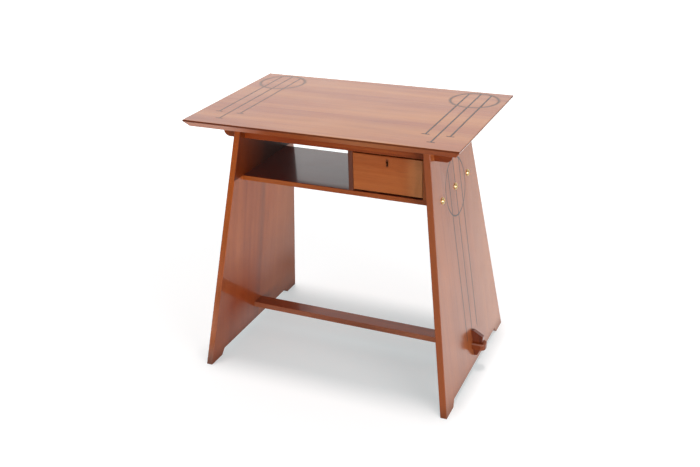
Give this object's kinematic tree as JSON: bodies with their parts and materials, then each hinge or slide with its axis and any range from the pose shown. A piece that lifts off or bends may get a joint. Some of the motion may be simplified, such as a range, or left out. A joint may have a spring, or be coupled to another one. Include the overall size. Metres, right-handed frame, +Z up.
{
  "type": "writing desk",
  "caption": "Small mahogany writing desk with splayed tapered slab ends, a pigeonhole and drawer under an inlaid top, and a stretcher held by loose tusk keys.",
  "frame": {"origin": "on the floor under the middle of the top", "axes": "+Z up, +X along the desk to the sitter's right seen from the front, front faces -Y"},
  "size_m": [0.7936, 0.54, 0.74],
  "materials": {
    "mahogany": "French polished",
    "lining_wood": "planed",
    "dark_stringing": "French polished",
    "brass": "worn polish"
  },
  "bodies": {
    "frame": {"top_board": "mahogany", "left_end_panel": "mahogany", "right_end_panel": "mahogany", "front_bearer": "mahogany", "back_bearer": "mahogany", "shelf_board": "mahogany", "divider": "mahogany", "drawer_cheek": "mahogany", "stretcher": "mahogany", "left_drawer_runner": "lining_wood", "right_drawer_runner": "lining_wood", "drawer_stops": "lining_wood", "left_top_inlay": "dark_stringing", "right_top_inlay": "dark_stringing", "left_panel_inlay": "dark_stringing", "right_panel_inlay": "dark_stringing", "left_shelf_screws": "brass", "right_shelf_screws": "brass", "left_screw_cups": "brass", "right_screw_cups": "brass"},
    "drawer": {"drawer_front": "mahogany", "drawer_left_side": "lining_wood", "drawer_right_side": "lining_wood", "drawer_back": "lining_wood", "drawer_bottom": "lining_wood", "lock_case": "brass"},
    "lock_bolt": {"lock_bolt": "brass"},
    "left_key": {"left_tusk_key": "mahogany"},
    "right_key": {"right_tusk_key": "mahogany"}
  },
  "joints": [
    {"name": "drawer_slide", "type": "slide", "parent": "frame", "child": "drawer", "axis": [0, -1, 0], "range_m": [0, 0.16]},
    {"name": "lock_bolt_throw", "type": "slide", "parent": "drawer", "child": "lock_bolt", "axis": [0, 0, 1], "range_m": [0, 0.0075]},
    {"name": "left_key_lift", "type": "slide", "parent": "frame", "child": "left_key", "axis": [0.1323, 0, 0.9912], "range_m": [0, 0.06]},
    {"name": "right_key_lift", "type": "slide", "parent": "frame", "child": "right_key", "axis": [-0.1323, 0, 0.9912], "range_m": [0, 0.06]}
  ]
}
